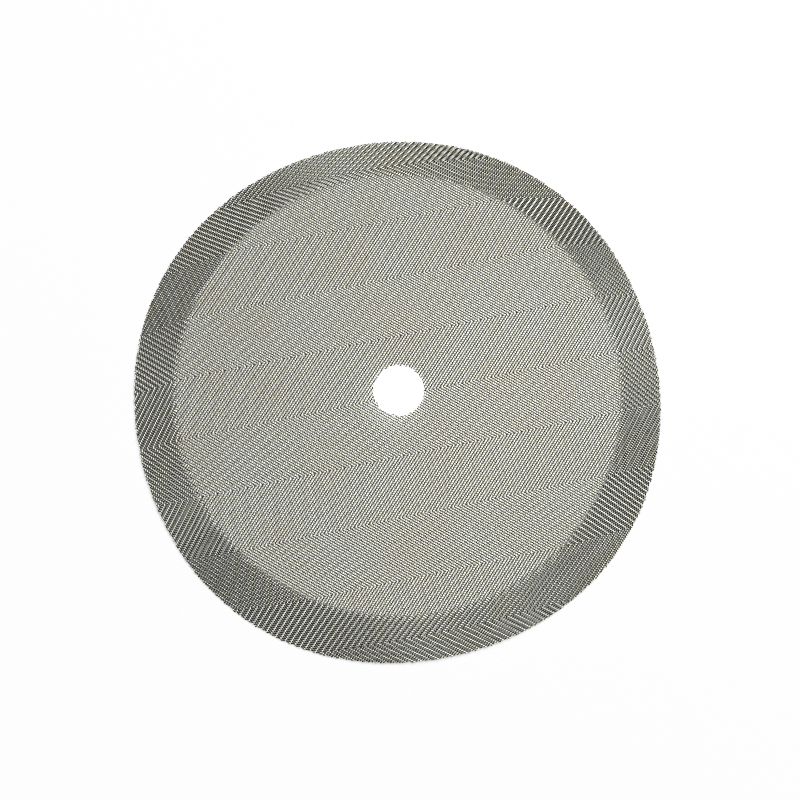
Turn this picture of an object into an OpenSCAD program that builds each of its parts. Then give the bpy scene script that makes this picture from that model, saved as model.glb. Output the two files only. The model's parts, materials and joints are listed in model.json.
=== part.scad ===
// Domed filter screen of woven wire for a plunger coffee pot.
// One round blank of herringbone twill wire cloth is pressed into a shallow dish: a flat
// centre with a hole for the plunger rod, and a sloping rim that wipes the wall of the pot.
// The screen lies with its rim edge down, and the origin is under its centre at that level.

/* [Disc] */
// Mean diameter over the cut edge of the rim
disc_d = 100; // [70:1:130]
// Diameter of the fold between the flat centre and the rim
fold_d = 82.6; // [55:0.2:86]
// Height of the flat centre's underside above the rim edge
rim_drop = 5.5; // [4.5:0.1:9]
// Inside radius of the fold
bend_r = 2; // [1:0.1:4]
// How far the four corners of the rim on the cloth's bias stand out from the mean edge
ear_h = 0.46; // [0:0.02:1]

/* [Rod hole] */
// Diameter of the hole for the plunger rod
hole_d = 9.5; // [5:0.1:20]
// Width of the ring that the punch has pressed flat around the hole
ring_w = 1; // [0.5:0.1:3]

/* [Wire cloth] */
// Diameter of the wire
wire_d = 0.16; // [0.1:0.01:0.2]
// Pitch of the wires that run along the herringbone bands
warp_pitch = 0.325; // [0.3:0.005:0.6]
// Pitch of the wires that run across the herringbone bands
weft_pitch = 0.346; // [0.3:0.002:0.6]
// Wires along one band, from one reversal of the twill to the next
band_wires = 34; // [16:2:60]
// Direction of the bands, counted from the X axis
weave_angle = 11.5; // [-45:0.5:45]
// How far the cloth is pulled out of square
weave_skew = 4; // [-6:0.5:6]
// Distance from the hole's centre to the nearest reversal line
band_shift = -1; // [-5:0.1:5]

/* [Ridges and gaps] */
// Wales of the twill that one ridge stands for
wales_per_ridge = 2; // [1:1:4]
// Ridges from one gap in the cloth to the next along a band
gap_every = 1; // [1:1:6]
// Share of a band's width that each gap runs over
gap_share = 0.65; // [0.3:0.05:0.8]

/* [Hidden] */
$fn = 60;

// Twill repeat: over two wires and under two
wires_per_wale = 4;
ridge_pitch = wales_per_ridge * wires_per_wale * weft_pitch;
band_w = band_wires * warp_pitch;
band_run = band_wires * weft_pitch;

// Gap width at which one ridge's pitch of a band is as open as the cloth between its wires
open_share = (1 - wire_d / warp_pitch) * (1 - wire_d / weft_pitch);
gap_w = open_share * ridge_pitch / gap_share;

// Thickness: two wires that cross, the upper half of the upper one raised in the ridges
sheet_t = 2 * wire_d;
ridge_h = wire_d / 2;
sheet_mid = sheet_t / 2;

hole_r = hole_d / 2;
ring_r = hole_r + ring_w;
fold_r = fold_d / 2;
tip_r = disc_d / 2 + ear_h;
rim_slope = atan2(rim_drop, tip_r - fold_r);
bend_tangent = bend_r * tan(rim_slope / 2);
bend_c = [fold_r - bend_tangent, rim_drop - bend_r];
bend_steps = 3;

// Length by which cuts and raw shapes pass each other
over = 1;
edge_points = 96;
half_bands = ceil((tip_r + over + abs(band_shift)) / band_w);
half_ridges = ceil((tip_r + over + band_run) / ridge_pitch);

// Places in the cloth: u along the bands and v across them, from the hole's centre
function cloth(u, v) =
    u * [cos(weave_angle), sin(weave_angle)]
    + v * [-sin(weave_angle + weave_skew), cos(weave_angle + weave_skew)];

// Reversal line k of the herringbone: its v, and how far along u the wales have run there
function reversal_v(k) = band_shift + k * band_w;
function reversal_u(k) = abs(k) % 2 * band_run;

// Section of the dish at a height off above its underside, from the axis to past the rim edge
function skin(off) = concat(
    [[0, rim_drop + off]],
    [for (i = [0 : bend_steps]) let (a = rim_slope * i / bend_steps)
        bend_c + (bend_r + off) * [sin(a), cos(a)]],
    [[tip_r, 0] + over * [cos(rim_slope), -sin(rim_slope)] + off * [sin(rim_slope), cos(rim_slope)]]
);

function reversed(list) = [for (i = [len(list) - 1 : -1 : 0]) list[i]];

// Distance from the hole's centre to the straight line between two points
function line_distance(a, b) =
    let (d = b - a, t = max(0, min(1, -(a * d) / (d * d)))) norm(a + t * d);

// Layer of the dish between two heights above its underside
module layer(low, high) {
    rotate_extrude()
        polygon(concat(skin(low), reversed(skin(high))));
}

// Upright prism that is taller than the dish, over the shapes that are given
module upright() {
    translate([0, 0, -over])
        linear_extrude(rim_drop + sheet_t + 2 * over)
            children();
}

// Edge of the formed blank: the cloth stretches on the bias, so the rim stands out at four corners
module blank() {
    ear_angle = weave_angle + weave_skew / 2;
    polygon([
        for (i = [0 : edge_points - 1])
            let (a = 360 * i / edge_points, r = disc_d / 2 - ear_h * cos(4 * a))
                r * [cos(a + ear_angle), sin(a + ear_angle)]
    ]);
}

// Zigzag strip that one ridge follows across all the bands
module zigzag(u) {
    half_w = ridge_pitch / 4;
    bands = [-half_bands : half_bands];
    polygon(concat(
        [for (k = bands) cloth(u + reversal_u(k) - half_w, reversal_v(k))],
        reversed([for (k = bands) cloth(u + reversal_u(k) + half_w, reversal_v(k))])
    ));
}

// Wales that stand up on the outer face, over the flat centre and down the rim
module ridges() {
    intersection() {
        layer(sheet_mid, sheet_t);
        upright()
            intersection() {
                circle(r = tip_r + over / 2);
                for (n = [-half_ridges : half_ridges])
                    zigzag(n * ridge_pitch);
            }
    }
}

// Gaps through the cloth, in the furrows between the ridges of the flat centre
module gaps() {
    half_w = gap_w / 2;
    outer = bend_c[0] - ridge_pitch;
    upright()
        for (k = [-half_bands : half_bands - 1], n = [-half_ridges : gap_every : half_ridges]) {
            mid = (reversal_u(k) + reversal_u(k + 1)) / 2 + (n + 0.5) * ridge_pitch;
            run = (reversal_u(k + 1) - reversal_u(k)) * gap_share / 2;
            low = reversal_v(k + 0.5 - gap_share / 2);
            high = reversal_v(k + 0.5 + gap_share / 2);
            a = cloth(mid - run, low);
            b = cloth(mid + run, high);
            if (max(norm(a), norm(b)) < outer && line_distance(a, b) > ring_r + half_w)
                polygon([
                    cloth(mid - run - half_w, low),
                    cloth(mid - run + half_w, low),
                    cloth(mid + run + half_w, high),
                    cloth(mid + run - half_w, high)
                ]);
        }
}

module mesh_disc() {
    color([0.62, 0.62, 0.58])
        difference() {
            intersection() {
                union() {
                    layer(0, sheet_t - ridge_h);
                    ridges();
                    translate([0, 0, rim_drop])
                        cylinder(r = ring_r, h = sheet_t);
                }
                upright()
                    blank();
            }
            translate([0, 0, rim_drop - over])
                cylinder(r = hole_r, h = sheet_t + 2 * over);
            gaps();
        }
}

mesh_disc();
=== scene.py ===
"""Studio scene of a domed filter screen of woven wire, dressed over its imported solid.

The screen is one blank of herringbone twill cloth. Its wires are laid out on a lattice of
crossings, woven over and under each other, pressed over the dish and cut at the rod hole and
at the edge. Lengths are in metres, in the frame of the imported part: +Z up, rim edge down.
"""

from __future__ import annotations

import json
import logging
import math
from dataclasses import dataclass, field
from enum import Enum
from typing import Any

import bpy
from mathutils import Euler, Matrix, Vector

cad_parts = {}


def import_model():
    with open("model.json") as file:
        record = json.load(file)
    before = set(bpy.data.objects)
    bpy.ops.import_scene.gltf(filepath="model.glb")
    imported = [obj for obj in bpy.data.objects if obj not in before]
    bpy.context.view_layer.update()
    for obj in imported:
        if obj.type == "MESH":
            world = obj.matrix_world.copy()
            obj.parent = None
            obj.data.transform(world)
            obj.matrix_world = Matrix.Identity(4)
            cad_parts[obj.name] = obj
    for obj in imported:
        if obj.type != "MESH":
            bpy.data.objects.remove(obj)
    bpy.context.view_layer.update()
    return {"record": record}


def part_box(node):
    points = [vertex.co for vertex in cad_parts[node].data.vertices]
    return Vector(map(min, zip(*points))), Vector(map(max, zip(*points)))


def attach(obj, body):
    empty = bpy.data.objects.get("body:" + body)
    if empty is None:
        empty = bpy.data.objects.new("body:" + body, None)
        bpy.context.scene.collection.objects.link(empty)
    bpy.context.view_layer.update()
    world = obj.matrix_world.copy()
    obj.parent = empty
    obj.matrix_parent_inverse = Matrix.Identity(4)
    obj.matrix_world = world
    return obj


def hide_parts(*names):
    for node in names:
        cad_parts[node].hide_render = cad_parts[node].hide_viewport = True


LOG = logging.getLogger("filter_screen")
MM = 0.001
NODE = "mesh_disc"
BODY = "root"
NOISE_MIDDLE = 0.5

# Numbers of the sockets that share their names with others of the same node
MIX_COLOUR_A, MIX_COLOUR_B, MIX_COLOUR_RESULT = 6, 7, 2
MIX_VECTOR_A, MIX_VECTOR_B, MIX_VECTOR_RESULT = 4, 5, 1
RANDOM_FLOAT_MIN, RANDOM_FLOAT_MAX, RANDOM_FLOAT_RESULT = 2, 3, 1
MIX_SHADER_FACTOR, MIX_SHADER_A, MIX_SHADER_B = 0, 1, 2


class Value:
    """A number in a node tree: an output socket with the operators that add Math nodes."""

    def __init__(self, graph: "Graph", socket: bpy.types.NodeSocket) -> None:
        """Keeps the socket and the graph that it belongs to."""
        self.graph = graph
        self.socket = socket

    def _math(self, operation: str, *terms: Any) -> "Value":
        """Adds one Math node.

        Args:
            operation: Name of the Math node's operation.
            terms: Numbers or values for its inputs, in order.

        Returns:
            The node's result.
        """
        return self.graph.value("ShaderNodeMath", {"operation": operation}, dict(enumerate(terms)))

    def __add__(self, other: Any) -> "Value":
        """Sum."""
        return self._math("ADD", self, other)

    __radd__ = __add__

    def __sub__(self, other: Any) -> "Value":
        """Difference."""
        return self._math("SUBTRACT", self, other)

    def __rsub__(self, other: Any) -> "Value":
        """Difference from a number."""
        return self._math("SUBTRACT", other, self)

    def __mul__(self, other: Any) -> "Value":
        """Product."""
        return self._math("MULTIPLY", self, other)

    __rmul__ = __mul__

    def __truediv__(self, other: Any) -> "Value":
        """Quotient."""
        return self._math("DIVIDE", self, other)

    def __mod__(self, other: Any) -> "Value":
        """Remainder, never negative."""
        return self._math("FLOORED_MODULO", self, other)

    def __lt__(self, other: Any) -> "Value":
        """1 where this is the smaller, else 0."""
        return self._math("LESS_THAN", self, other)

    def __gt__(self, other: Any) -> "Value":
        """1 where this is the larger, else 0."""
        return self._math("GREATER_THAN", self, other)

    def least(self, other: Any) -> "Value":
        """The smaller of two."""
        return self._math("MINIMUM", self, other)

    def most(self, other: Any) -> "Value":
        """The larger of two."""
        return self._math("MAXIMUM", self, other)

    def sine(self) -> "Value":
        """Sine of an angle in radians."""
        return self._math("SINE", self)

    def cosine(self) -> "Value":
        """Cosine of an angle in radians."""
        return self._math("COSINE", self)

    def root(self) -> "Value":
        """Square root."""
        return self._math("SQRT", self)

    def angle_from(self, x: "Value") -> "Value":
        """Angle of the point (x, this) around the origin."""
        return self._math("ARCTAN2", self, x)


class Graph:
    """A node tree under construction."""

    def __init__(self, tree: bpy.types.NodeTree) -> None:
        """Keeps the tree that nodes are added to."""
        self.tree = tree

    def add(self, kind: str, settings: dict[str, Any], sockets: dict[Any, Any]) -> bpy.types.Node:
        """Adds one node.

        Args:
            kind: The node's type.
            settings: Its properties, set first.
            sockets: Its inputs by name or number, each a number, a value or an output socket.

        Returns:
            The new node.
        """
        node = self.tree.nodes.new(kind)
        for name, setting in settings.items():
            setattr(node, name, setting)
        for key, term in sockets.items():
            if isinstance(term, Value):
                self.tree.links.new(term.socket, node.inputs[key])
            elif isinstance(term, bpy.types.NodeSocket):
                self.tree.links.new(term, node.inputs[key])
            else:
                node.inputs[key].default_value = term
        return node

    def value(self, kind: str, settings: dict[str, Any], sockets: dict[Any, Any], output: Any = 0) -> Value:
        """Adds one node and returns one of its outputs as a value.

        Args:
            kind: The node's type.
            settings: Its properties.
            sockets: Its inputs.
            output: Name or number of the output.

        Returns:
            That output.
        """
        return Value(self, self.add(kind, settings, sockets).outputs[output])


class Thread(Enum):
    """The two sets of wires in the cloth."""

    WARP = "warp"
    WEFT = "weft"


@dataclass(frozen=True)
class Cloth:
    """Herringbone twill wire cloth: over two wires, under two, reversed from band to band."""

    wire_d: float = 0.16 * MM
    warp_pitch: float = 0.325 * MM
    weft_pitch: float = 0.346 * MM
    band_wires: int = 34
    angle: float = math.radians(11.5)
    skew: float = math.radians(4.0)
    band_shift: float = -1.0 * MM
    crimp: float = 0.53
    repeat: int = 4
    sides: int = 3
    # Turn of a wire's section that puts one of its flat sides up
    section_turn: float = math.pi / 2

    @property
    def rise(self) -> float:
        """How far a wire's line lies above or below the cloth's middle where it crosses another."""
        return self.crimp * self.wire_d

    @property
    def tube_r(self) -> float:
        """Radius to the corners of a wire's section, for the same girth as the round wire."""
        girth = math.pi * self.wire_d
        return girth / (2 * self.sides * math.sin(math.pi / self.sides))


@dataclass
class Dish:
    """Form that the blank is pressed to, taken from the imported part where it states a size."""

    lower_z: float
    upper_z: float
    hole_r: float
    half_span: float
    fold_r: float = 41.3 * MM
    bend_r: float = 2.0 * MM
    ears: int = 4
    ear_h: float = 0.46 * MM

    @property
    def middle_z(self) -> float:
        """Height of the cloth's middle on the flat centre."""
        return (self.lower_z + self.upper_z) / 2

    @property
    def mean_r(self) -> float:
        """Mean radius of the rim's edge, about half an ear past the sides of the box."""
        return self.half_span + self.ear_h / 2

    @property
    def slope(self) -> float:
        """Slope of the rim, in radians."""
        return math.atan2(self.lower_z, self.mean_r + self.ear_h - self.fold_r)

    @property
    def flat_r(self) -> float:
        """Radius at which the fold starts."""
        return self.fold_r - self.bend_r * math.tan(self.slope / 2)

    @property
    def fold_mid_r(self) -> float:
        """Radius of the fold in the cloth's middle."""
        return self.bend_r + self.middle_z - self.lower_z


@dataclass(frozen=True)
class DrawnSteel:
    """Drawn stainless wire, rolled flat on its crowns, with a warm and cloudy film."""

    colour: tuple[float, float, float] = (0.291, 0.318, 0.285)
    film: tuple[float, float, float] = (0.295, 0.268, 0.205)
    roughness: float = 0.22
    roughness_spread: float = 0.12
    cloud_size: float = 9 * MM
    cloud_detail: float = 2.0
    grain_size: float = 0.25 * MM
    grain_detail: float = 1.0
    # Share of the flat normal in the shading: 0 is a round wire, 1 a rolled one
    crown_flatness: float = 0.7

    def material(self, name: str) -> bpy.types.Material:
        """Builds the finish.

        Args:
            name: The material's name.

        Returns:
            The new material.
        """
        made = bpy.data.materials.new(name)
        made.use_nodes = True
        graph = Graph(made.node_tree)
        shader = made.node_tree.nodes["Principled BSDF"]
        shader.inputs["Metallic"].default_value = 1.0
        place = graph.add("ShaderNodeTexCoord", {}, {}).outputs["Object"]
        cloud = graph.value(
            "ShaderNodeTexNoise",
            {},
            {"Vector": place, "Scale": 1 / self.cloud_size, "Detail": self.cloud_detail},
        )
        grain = graph.value(
            "ShaderNodeTexNoise",
            {},
            {"Vector": place, "Scale": 1 / self.grain_size, "Detail": self.grain_detail},
        )
        tint = graph.add(
            "ShaderNodeMix",
            {"data_type": "RGBA"},
            {"Factor": cloud, MIX_COLOUR_A: (*self.colour, 1.0), MIX_COLOUR_B: (*self.film, 1.0)},
        )
        made.node_tree.links.new(tint.outputs[MIX_COLOUR_RESULT], shader.inputs["Base Color"])
        rough = self.roughness + (grain - NOISE_MIDDLE) * self.roughness_spread
        made.node_tree.links.new(rough.socket, shader.inputs["Roughness"])
        surface = graph.add("ShaderNodeNewGeometry", {}, {}).outputs
        crown = graph.add(
            "ShaderNodeMix",
            {"data_type": "VECTOR"},
            {
                "Factor": self.crown_flatness,
                MIX_VECTOR_A: surface["Normal"],
                MIX_VECTOR_B: surface["True Normal"],
            },
        )
        mixed = crown.outputs[MIX_VECTOR_RESULT]
        face = graph.add("ShaderNodeVectorMath", {"operation": "NORMALIZE"}, {0: mixed})
        made.node_tree.links.new(face.outputs[0], shader.inputs["Normal"])
        return made


@dataclass
class WireScreen:
    """The woven screen: its wires in slices that each stay a light mesh."""

    cloth: Cloth
    dish: Dish
    finish: DrawnSteel = field(default_factory=DrawnSteel)
    slices: int = 3
    fray: float = 0.12 * MM
    wander: float = 0.05 * MM
    wander_size: float = 6 * MM
    wander_detail: float = 1.0
    seed: int = 7

    def build(self) -> list[bpy.types.Object]:
        """Weaves all the wires.

        Returns:
            One object for each slice of each set of wires.
        """
        steel = self.finish.material("drawn_steel_wire")
        pieces = []
        for thread in Thread:
            tree, sockets = self._tree(thread)
            reach = self._reach(thread)
            first = -reach
            for number in range(self.slices):
                last = round(-reach + (2 * reach + 1) * (number + 1) / self.slices)
                values = {
                    "First wire": first,
                    "Wires": last - first,
                    "Wire radius": self.cloth.tube_r,
                    "Steel": steel,
                }
                name = f"{thread.value}_wires_{number + 1}"
                pieces.append(self._piece(name, tree, {sockets[key]: values[key] for key in values}))
                first = last
        return pieces

    def _blank_r(self) -> float:
        """Works out how large the blank was.

        Returns:
            Radius that covers the flat blank before it was pressed.
        """
        dish = self.dish
        rim = (dish.mean_r + dish.ear_h - dish.flat_r) / math.cos(dish.slope)
        return dish.flat_r + rim

    def _reach(self, thread: Thread) -> int:
        """Counts the wires that cover the blank.

        Args:
            thread: Which set of wires.

        Returns:
            Number of wires of the set on each side of the middle one.
        """
        cloth = self.cloth
        pitch = cloth.warp_pitch if thread is Thread.WARP else cloth.weft_pitch
        half_width = self._blank_r() * (1 + math.sin(cloth.skew)) + abs(cloth.band_shift)
        return math.ceil(half_width / pitch)

    def _tree(self, thread: Thread) -> tuple[bpy.types.NodeTree, dict[str, str]]:
        """Builds the node tree that weaves and presses one set of wires.

        Args:
            thread: Which set of wires.

        Returns:
            The tree, and the identifier of each of its inputs by name.
        """
        tree = bpy.data.node_groups.new(f"weave_{thread.value}", "GeometryNodeTree")
        kinds = {
            "First wire": "NodeSocketInt",
            "Wires": "NodeSocketInt",
            "Wire radius": "NodeSocketFloat",
            "Steel": "NodeSocketMaterial",
        }
        tree.interface.new_socket("Geometry", in_out="OUTPUT", socket_type="NodeSocketGeometry")
        sockets = {
            name: tree.interface.new_socket(name, in_out="INPUT", socket_type=kind).identifier
            for name, kind in kinds.items()
        }
        graph = Graph(tree)
        given = graph.add("NodeGroupInput", {}, {})
        lattice = self._lattice(graph, thread, given)
        place, cut = self._press(graph, thread)
        kept = graph.add(
            "GeometryNodeDeleteGeometry",
            {"domain": "POINT", "mode": "ALL"},
            {"Geometry": lattice, "Selection": cut},
        ).outputs["Geometry"]
        pressed = graph.add(
            "GeometryNodeSetPosition", {}, {"Geometry": kept, "Position": place}
        ).outputs["Geometry"]
        lines = graph.add("GeometryNodeMeshToCurve", {}, {"Mesh": pressed}).outputs["Curve"]
        level = graph.add("GeometryNodeSetCurveNormal", {"mode": "Z_UP"}, {"Curve": lines}).outputs["Curve"]
        circle = graph.add(
            "GeometryNodeCurvePrimitiveCircle",
            {"mode": "RADIUS"},
            {"Resolution": self.cloth.sides, "Radius": given.outputs["Wire radius"]},
        ).outputs["Curve"]
        section = graph.add(
            "GeometryNodeTransform",
            {},
            {"Geometry": circle, "Rotation": (0.0, 0.0, self.cloth.section_turn)},
        ).outputs["Geometry"]
        tubes = graph.add(
            "GeometryNodeCurveToMesh",
            {},
            {"Curve": level, "Profile Curve": section, "Fill Caps": True},
        ).outputs["Mesh"]
        smooth = graph.add("GeometryNodeSetShadeSmooth", {}, {"Geometry": tubes}).outputs[0]
        whole = graph.add("GeometryNodeRealizeInstances", {}, {"Geometry": smooth}).outputs[0]
        dressed = graph.add(
            "GeometryNodeSetMaterial", {}, {"Geometry": whole, "Material": given.outputs["Steel"]}
        ).outputs[0]
        graph.add("NodeGroupOutput", {}, {"Geometry": dressed})
        return tree, sockets

    def _lattice(
        self, graph: Graph, thread: Thread, given: bpy.types.Node
    ) -> bpy.types.NodeSocket:
        """Lays out straight chains of points: wire numbers along X, crossing numbers along Y.

        Args:
            graph: The tree under construction.
            thread: Which set of wires.
            given: The tree's input node.

        Returns:
            The chains as one mesh.
        """
        crossings = self._reach(Thread.WEFT if thread is Thread.WARP else Thread.WARP)
        first = graph.value("ShaderNodeCombineXYZ", {}, {"X": given.outputs["First wire"]})
        starts = graph.add(
            "GeometryNodeMeshLine",
            {"mode": "OFFSET"},
            {"Count": given.outputs["Wires"], "Start Location": first, "Offset": (1.0, 0.0, 0.0)},
        ).outputs["Mesh"]
        chain = graph.add(
            "GeometryNodeMeshLine",
            {"mode": "OFFSET"},
            {
                "Count": 2 * crossings + 1,
                "Start Location": (0.0, -float(crossings), 0.0),
                "Offset": (0.0, 1.0, 0.0),
            },
        ).outputs["Mesh"]
        copies = graph.add(
            "GeometryNodeInstanceOnPoints", {}, {"Points": starts, "Instance": chain}
        ).outputs["Instances"]
        return graph.add("GeometryNodeRealizeInstances", {}, {"Geometry": copies}).outputs[0]

    def _zigzag(self, row: Value) -> Value:
        """How many wires the twill has stepped along the bands at a warp row.

        Args:
            row: Number of the row, counted from a reversal line.

        Returns:
            The steps, which rise over one band and fall over the next.
        """
        band = self.cloth.band_wires
        turn = row % (2 * band)
        return turn.least(2 * band - turn)

    def _woven(self, graph: Graph, thread: Thread) -> tuple[Value, Value, Value]:
        """Places the crossings of a set of wires in the flat cloth.

        Args:
            graph: The tree under construction.
            thread: Which set of wires.

        Returns:
            Distance along the bands, distance across them, and height over the cloth's middle.
        """
        cloth = self.cloth
        point = graph.add(
            "ShaderNodeSeparateXYZ", {}, {0: graph.value("GeometryNodeInputPosition", {}, {})}
        )
        wire = Value(graph, point.outputs["X"])
        crossing = Value(graph, point.outputs["Y"])
        row, column = (wire, crossing) if thread is Thread.WARP else (crossing, wire)
        # Half a step keeps the whole numbers clear of the limits
        phase = (column - self._zigzag(row) + 0.5) % cloth.repeat
        warp_on_top = (phase < cloth.repeat / 2) * 2 - 1
        rise = cloth.rise if thread is Thread.WARP else -cloth.rise
        along = column * cloth.weft_pitch
        across = row * cloth.warp_pitch + cloth.band_shift
        return along, across, warp_on_top * rise

    def _press(self, graph: Graph, thread: Thread) -> tuple[Value, Value]:
        """Presses the cloth over the dish and marks what the punch and the shears cut off.

        Args:
            graph: The tree under construction.
            thread: Which set of wires.

        Returns:
            The place of each point, and 1 where it is cut off, else 0.
        """
        cloth, dish = self.cloth, self.dish
        along, across, height = self._woven(graph, thread)
        turn = cloth.angle + cloth.skew
        flat_x = along * math.cos(cloth.angle) - across * math.sin(turn)
        flat_y = along * math.sin(cloth.angle) + across * math.cos(turn)
        spot = graph.value("ShaderNodeCombineXYZ", {}, {"X": flat_x, "Y": flat_y})
        drift = graph.add(
            "ShaderNodeTexNoise",
            {},
            {"Vector": spot, "Scale": 1 / self.wander_size, "Detail": self.wander_detail},
        )
        sway = graph.add("ShaderNodeSeparateXYZ", {}, {0: drift.outputs["Color"]})
        flat_x = flat_x + (Value(graph, sway.outputs["X"]) - NOISE_MIDDLE) * self.wander
        flat_y = flat_y + (Value(graph, sway.outputs["Y"]) - NOISE_MIDDLE) * self.wander
        reach = (flat_x * flat_x + flat_y * flat_y).root()
        lean = ((reach - dish.flat_r) / dish.fold_mid_r).most(0.0).least(dish.slope)
        fold_end = dish.flat_r + dish.fold_mid_r * dish.slope
        down = (reach - fold_end).most(0.0)
        out = reach.least(dish.flat_r) + lean.sine() * dish.fold_mid_r + down * math.cos(dish.slope)
        drop = (1 - lean.cosine()) * dish.fold_mid_r + down * math.sin(dish.slope)
        scale = (out + height * lean.sine()) / reach
        place = graph.value(
            "ShaderNodeCombineXYZ",
            {},
            {
                "X": flat_x * scale,
                "Y": flat_y * scale,
                "Z": dish.middle_z - drop + height * lean.cosine(),
            },
        )
        around = flat_y.angle_from(flat_x) - cloth.angle - cloth.skew / 2
        return place, self._cut(graph, around, reach, out)

    def _cut(self, graph: Graph, around: Value, reach: Value, out: Value) -> Value:
        """Marks what the punch and the shears cut off.

        Args:
            graph: The tree under construction.
            around: Angle around the hole, counted from the middle of the two sets' directions.
            reach: Distance from the hole's centre in the flat cloth.
            out: Distance from the axis after pressing.

        Returns:
            1 where a point is cut off, else 0.
        """
        cloth, dish = self.cloth, self.dish
        snag = graph.value(
            "FunctionNodeRandomValue",
            {"data_type": "FLOAT"},
            {RANDOM_FLOAT_MIN: 0.0, RANDOM_FLOAT_MAX: self.fray, "Seed": self.seed},
            RANDOM_FLOAT_RESULT,
        )
        # Wires end at a crossing, so at the hole they stop half a pitch short of the cut
        mean_pitch = (cloth.warp_pitch + cloth.weft_pitch) / 2
        punch = dish.hole_r - mean_pitch / 2 + snag
        shears = dish.mean_r - (around * dish.ears).cosine() * dish.ear_h - snag
        return (out > shears).most(reach < punch)

    @staticmethod
    def _piece(name: str, tree: bpy.types.NodeTree, values: dict[str, Any]) -> bpy.types.Object:
        """Runs a tree once and keeps its result as a plain mesh.

        Args:
            name: Name of the piece.
            tree: The node tree.
            values: The tree's inputs by identifier.

        Returns:
            The finished object, at the origin.
        """
        piece = bpy.data.objects.new(name, bpy.data.meshes.new(f"{name}_blank"))
        bpy.context.scene.collection.objects.link(piece)
        modifier = piece.modifiers.new("weave", "NODES")
        modifier.node_group = tree
        for identifier, value in values.items():
            modifier[identifier] = value
        depsgraph = bpy.context.evaluated_depsgraph_get()
        mesh = bpy.data.meshes.new_from_object(piece.evaluated_get(depsgraph), depsgraph=depsgraph)
        mesh.name = name
        piece.modifiers.remove(modifier)
        piece.data = mesh
        return piece


def facing(z_axis: Vector, x_axis: Vector) -> Euler:
    """Turns a lamp or a camera, which look down their own Z axis.

    Args:
        z_axis: Direction of its Z axis, away from what it looks at.
        x_axis: Direction that its X axis lies towards.

    Returns:
        The rotation.
    """
    back = z_axis.normalized()
    up = back.cross(x_axis).normalized()
    return Matrix((up.cross(back), up, back)).transposed().to_euler()


@dataclass(frozen=True)
class Floor:
    """White studio floor that glows a little, with a painted light spot under the rod hole: a disc that
    glows full white where seen and hides the shadow there.
    """

    half_size: float = 8.0
    colour: tuple[float, float, float] = (0.97, 0.97, 0.97)
    roughness: float = 0.9
    glow_share: float = 0.26
    glow_near: float = 100 * MM
    glow_far: float = 300 * MM
    # Painted light spot: a disc under the rod hole that glows full white where seen, hiding the shadow cast
    # through the hole
    painted_spot_r: float = 4.8 * MM
    painted_spot_blur: float = 0.8 * MM
    painted_spot_at: tuple[float, float, float] = (0.11 * MM, 0.85 * MM, 0.0)

    def build(self) -> bpy.types.Object:
        """Makes the floor.

        Returns:
            The floor, marked as stage.
        """
        size = self.half_size
        mesh = bpy.data.meshes.new("studio_floor")
        corners = [(-size, -size, 0.0), (size, -size, 0.0), (size, size, 0.0), (-size, size, 0.0)]
        mesh.from_pydata(corners, [], [(0, 1, 2, 3)])
        floor = bpy.data.objects.new("studio_floor", mesh)
        bpy.context.scene.collection.objects.link(floor)
        mesh.materials.append(self._material())
        return floor

    def _material(self) -> bpy.types.Material:
        """Builds the floor's matt paint, with a white glow where the lens, metal or glass sees it, full in
        the painted light spot under the rod hole.

        Returns:
            The new material.
        """
        made = bpy.data.materials.new("studio_floor_paint")
        made.use_nodes = True
        graph = Graph(made.node_tree)
        paint = made.node_tree.nodes["Principled BSDF"]
        paint.inputs["Base Color"].default_value = (*self.colour, 1.0)
        paint.inputs["Roughness"].default_value = self.roughness
        paint.inputs["Specular IOR Level"].default_value = 0.0
        rays = graph.add("ShaderNodeLightPath", {}, {}).outputs
        seen = Value(graph, rays["Is Camera Ray"]) + rays["Is Glossy Ray"] + rays["Is Transmission Ray"]
        place = graph.add("ShaderNodeTexCoord", {}, {}).outputs["Object"]
        spot = graph.value(
            "ShaderNodeVectorMath", {"operation": "DISTANCE"}, {0: place, 1: self.painted_spot_at}, "Value"
        )
        # Painted light: full white glow in a disc under the rod hole, in place of the shadow there
        painted_spot = ((self.painted_spot_r - spot) / self.painted_spot_blur + 1).most(0.0).least(1.0)
        far = ((spot - self.glow_near) / (self.glow_far - self.glow_near)).most(0.0).least(1.0)
        share = self.glow_share + painted_spot.most(far) * (1 - self.glow_share)
        glow = graph.add("ShaderNodeEmission", {}, {"Color": (1.0, 1.0, 1.0, 1.0), "Strength": 1.0})
        sheet = graph.add(
            "ShaderNodeMixShader",
            {},
            {
                MIX_SHADER_FACTOR: seen * share,
                MIX_SHADER_A: paint.outputs["BSDF"],
                MIX_SHADER_B: glow.outputs["Emission"],
            },
        )
        surface = made.node_tree.nodes["Material Output"].inputs["Surface"]
        made.node_tree.links.new(sheet.outputs["Shader"], surface)
        return made


@dataclass(frozen=True)
class Softbox:
    """A rectangular area lamp that looks at the object, its width level."""

    name: str
    azimuth: float
    zenith: float
    width: float
    height: float
    radiance: float
    distance: float = 3.0

    def build(self) -> None:
        """Adds the lamp."""
        light = bpy.data.lights.new(self.name, "AREA")
        light.shape = "RECTANGLE"
        light.size = self.width
        light.size_y = self.height
        light.energy = self.radiance * math.pi * self.width * self.height
        turn, lean = math.radians(self.azimuth), math.radians(self.zenith)
        away = Vector((math.sin(lean) * math.cos(turn), math.sin(lean) * math.sin(turn), math.cos(lean)))
        box = bpy.data.objects.new(self.name, light)
        box.location = away * self.distance
        box.rotation_euler = facing(away, Vector((-math.sin(turn), math.cos(turn), 0.0)))
        bpy.context.scene.collection.objects.link(box)


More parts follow.
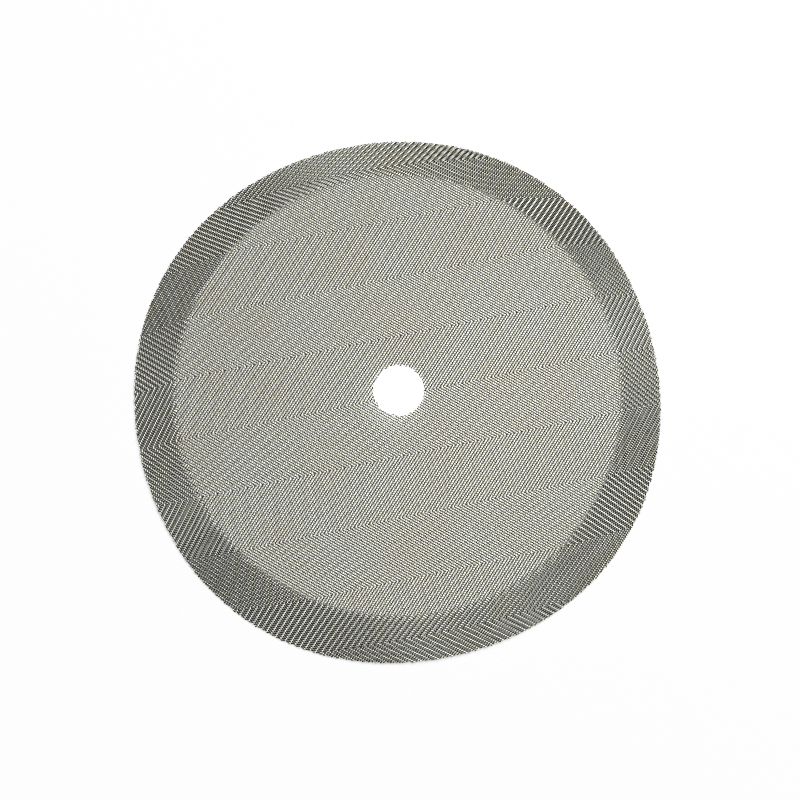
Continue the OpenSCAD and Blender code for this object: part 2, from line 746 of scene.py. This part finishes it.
@dataclass(frozen=True)
class Studio:
    """Floor, lamps and the plain surround."""

    floor: Floor = Floor()
    surround: float = 0.05
    # The weave is about as fine as a pixel, so a wider filter or the denoiser would wipe it out
    filter_px: float = 1.0
    lamps: tuple[Softbox, ...] = (
        Softbox("overhead_softbox", azimuth=55.0, zenith=14.0, width=2.7, height=2.7, radiance=4.9),
    )

    def build(self) -> None:
        """Makes the floor, the lamps and the world."""
        self.floor.build()
        for lamp in self.lamps:
            lamp.build()
        world = bpy.data.worlds.new("studio_surround")
        world.use_nodes = True
        back = world.node_tree.nodes["Background"]
        back.inputs["Color"].default_value = (1.0, 1.0, 1.0, 1.0)
        back.inputs["Strength"].default_value = self.surround
        scene = bpy.context.scene
        scene.world = world
        scene.view_settings.view_transform = "Standard"
        scene.cycles.use_denoising = False
        scene.cycles.filter_width = self.filter_px


@dataclass(frozen=True)
class Viewpoint:
    """The photograph's camera: nearly overhead, a little towards the viewer."""

    lean_x: float = math.radians(-1.1)
    lean_y: float = math.radians(-8.5)
    distance: float = 230 * MM
    focal_px: float = 1245.0
    frame_px: float = 800.0
    aim_px: tuple[float, float] = (-1.3, -9.6)

    def build(self, target: Vector) -> None:
        """Places the camera.

        Args:
            target: Point that the camera looks along, the middle of the flat centre.
        """
        lens = bpy.data.cameras.new("studio_camera")
        lens.sensor_width = 36.0
        lens.lens = lens.sensor_width * self.focal_px / self.frame_px
        lens.shift_x = -self.aim_px[0] / self.frame_px
        lens.shift_y = self.aim_px[1] / self.frame_px
        lens.clip_start = 1 * MM
        away = Vector((math.sin(self.lean_x), math.sin(self.lean_y), 0.0))
        away.z = math.sqrt(1 - away.length_squared)
        camera = bpy.data.objects.new("studio_camera", lens)
        camera.location = target + away * self.distance
        camera.rotation_euler = facing(away, Vector((1.0, 0.0, 0.0)))
        bpy.context.scene.collection.objects.link(camera)
        bpy.context.scene.camera = camera


def read_dish(record: dict[str, Any]) -> Dish:
    """Reads the dish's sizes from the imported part.

    Args:
        record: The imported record, whose mounts state the hole and the two seats.

    Returns:
        The dish.
    """
    mounts = {mount["name"]: mount for mount in record["mounts"]}
    low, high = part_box(NODE)
    return Dish(
        lower_z=mounts["lower_seat"]["pos_m"][2],
        upper_z=mounts["upper_seat"]["pos_m"][2],
        hole_r=mounts["rod_hole"]["dims"]["r_mm"] * MM,
        half_span=(high.x - low.x) / 2,
    )


def main() -> None:
    """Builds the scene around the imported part."""
    logging.basicConfig(level=logging.INFO, format="%(message)s")
    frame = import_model()
    dish = read_dish(frame["record"])
    screen = WireScreen(cloth=Cloth(), dish=dish)
    for piece in screen.build():
        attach(piece, BODY)
        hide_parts(NODE)
        LOG.info("%s: %d faces", piece.name, len(piece.data.polygons))
    Studio().build()
    Viewpoint().build(Vector((0.0, 0.0, dish.middle_z)))


if __name__ == "__main__":
    main()
